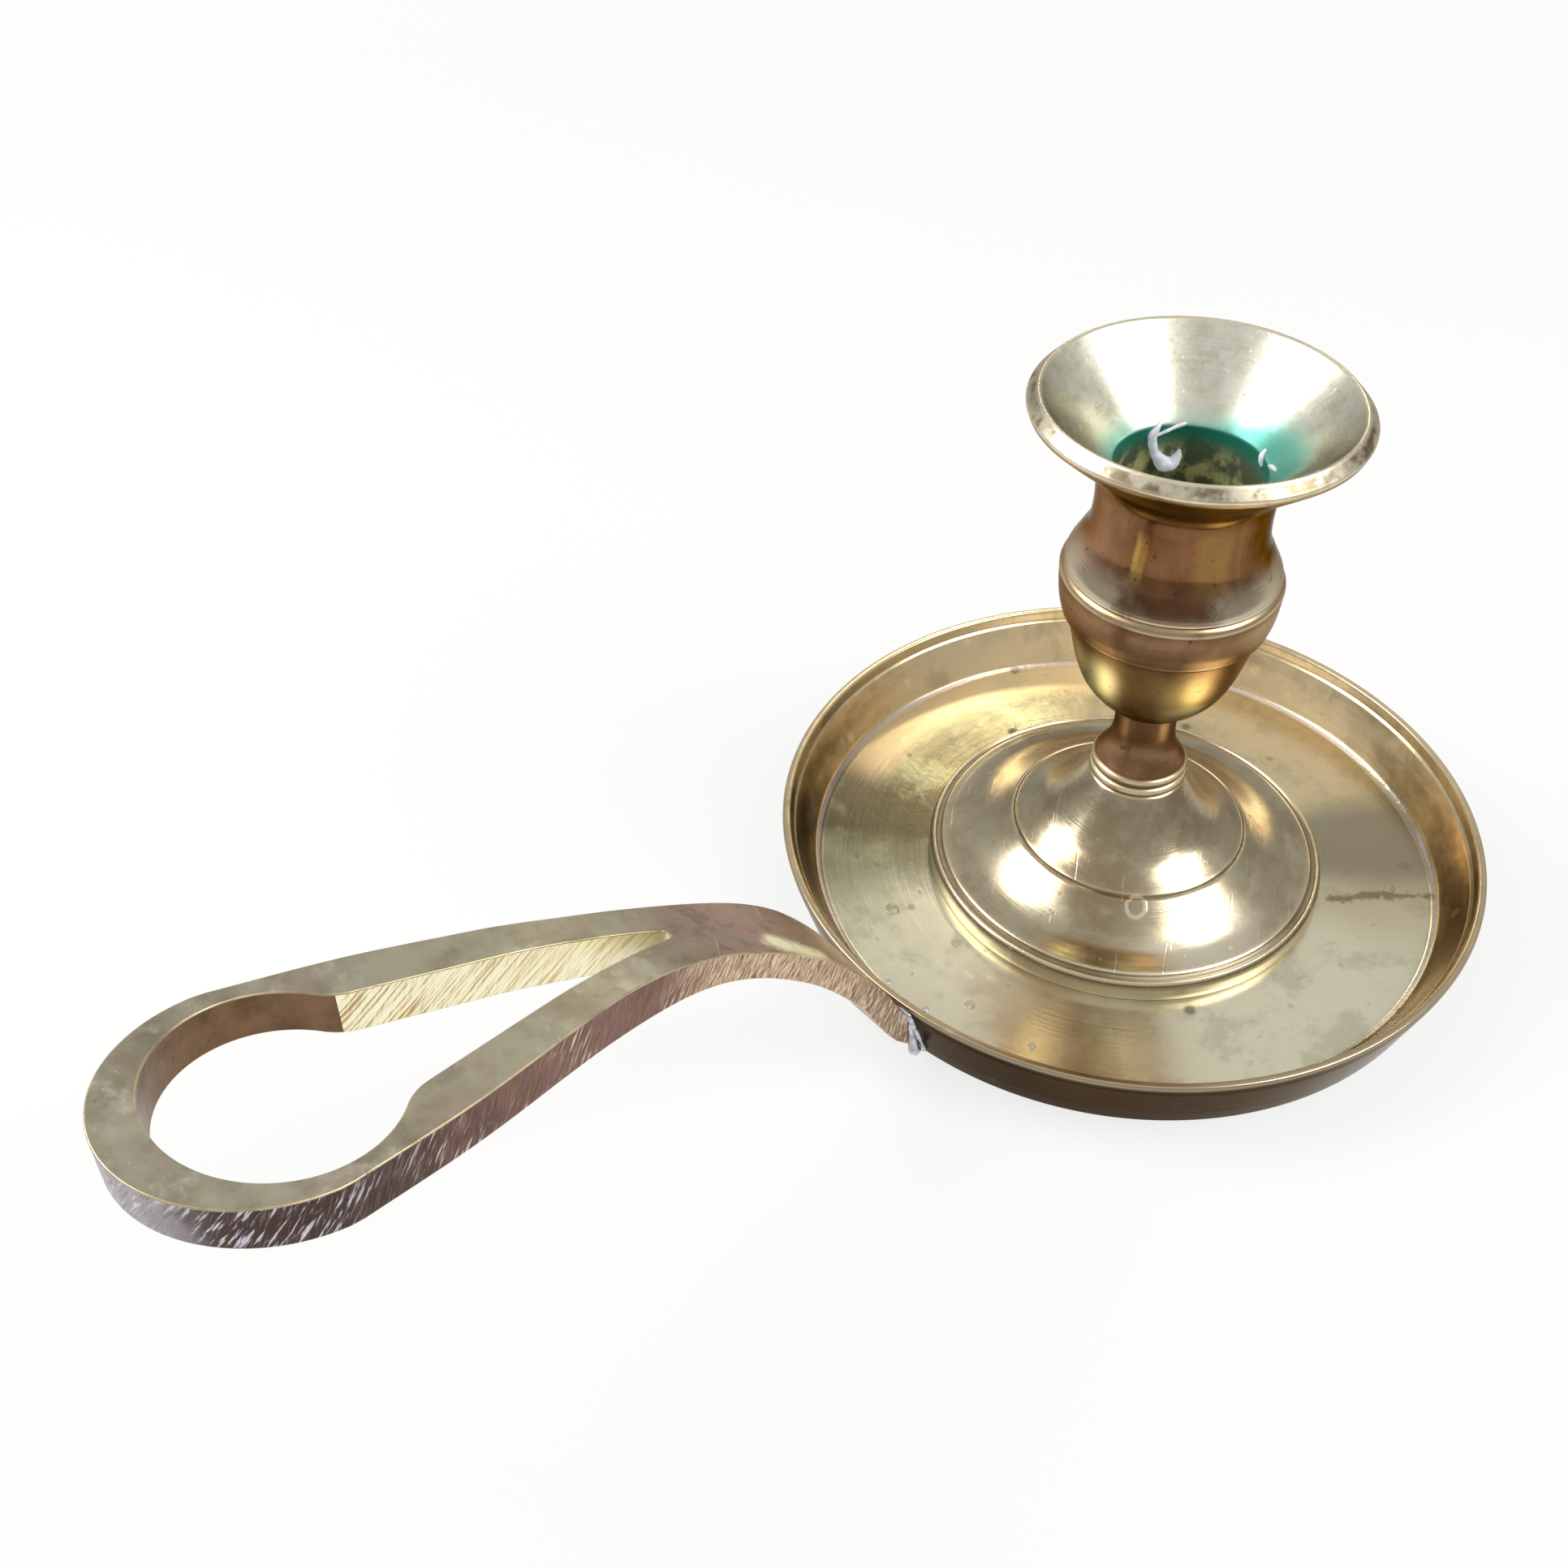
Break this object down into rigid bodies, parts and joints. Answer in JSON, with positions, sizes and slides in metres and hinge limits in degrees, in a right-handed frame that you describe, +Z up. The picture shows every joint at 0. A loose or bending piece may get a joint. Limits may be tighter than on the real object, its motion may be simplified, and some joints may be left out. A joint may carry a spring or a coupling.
{
  "type": "hand candlestick",
  "caption": "Brass hand candlestick: round drip dish, bell foot, slender stem, urn with flared candle socket, and a rising flat handle with a keyhole opening to hold or hang it.",
  "frame": {"origin": "on the candle's axis, in the plane that the dish stands on, at the end of the stem's tenon", "axes": "+Z up along the candle's axis, +X out along the handle"},
  "size_m": [0.2352, 0.12, 0.0955],
  "materials": {
    "dish_brass": "tarnished satin",
    "foot_brass": "worn polish",
    "column_brass": "worn polish",
    "nozzle_brass": "worn polish",
    "nut_brass": "dull",
    "handle_brass": "filed and tarnished"
  },
  "bodies": {
    "root": {"drip_dish": "dish_brass", "bell_foot": "foot_brass", "stem": "column_brass", "urn": "column_brass", "flared_nozzle": "nozzle_brass", "tenon_nut": "nut_brass", "keyhole_handle": "handle_brass"}
  },
  "joints": []
}
